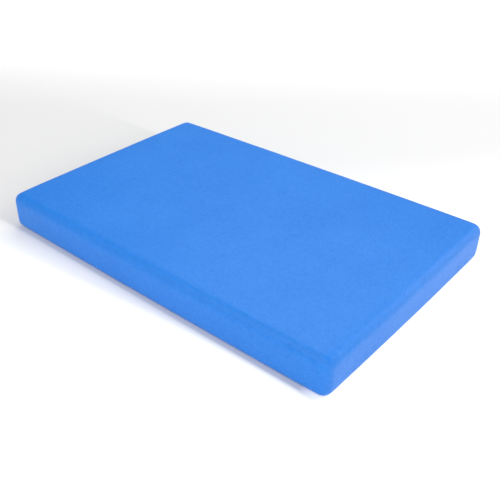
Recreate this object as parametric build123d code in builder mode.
# Leg cushion: one rectangular slab of soft foam with a smooth skin.
#
# The slab is a single piece.  Its four sides swell outward very slightly, and
# every edge and corner is rounded to the same soft radius, so that the flat
# top, the upright sides and the flat underside run into one another.  Lengths
# are in millimetres.
#
# The origin is the middle of the underside, +Z is up, the long sides run
# along X and the short sides run along Y.
import os

from build123d import *

# ---- driving dimensions -------------------------------------------------
CUSHION_LENGTH = 600.0  # along X, between the square corners of the plan
CUSHION_WIDTH = 400.0   # along Y, between the square corners of the plan
CUSHION_HEIGHT = 60.0   # from the underside to the flat top
SIDE_SWELL = 1.5        # how far the middle of each side stands proud
EDGE_RADIUS = 14.0      # every edge and every corner

# ---- what the plan is drawn through -------------------------------------
corner_x = CUSHION_LENGTH / 2
corner_y = CUSHION_WIDTH / 2
swell_x = corner_x + SIDE_SWELL
swell_y = corner_y + SIDE_SWELL

# ---- the cushion --------------------------------------------------------
with BuildPart() as cushion:
    # The plan is four gently bowed sides that meet in square corners.
    with BuildSketch(Plane.XY):
        with BuildLine():
            ThreePointArc((-corner_x, -corner_y), (0, -swell_y), (corner_x, -corner_y))
            ThreePointArc((corner_x, -corner_y), (swell_x, 0), (corner_x, corner_y))
            ThreePointArc((corner_x, corner_y), (0, swell_y), (-corner_x, corner_y))
            ThreePointArc((-corner_x, corner_y), (-swell_x, 0), (-corner_x, -corner_y))
        make_face()
    extrude(amount=CUSHION_HEIGHT)
    # One soft radius runs along all twelve edges and round all eight corners.
    fillet(cushion.edges(), radius=EDGE_RADIUS)

cushion.part.label = "cushion"

# ---- one STEP file for the one piece ------------------------------------
os.makedirs("parts", exist_ok=True)
export_step(cushion.part, "parts/cushion.step")
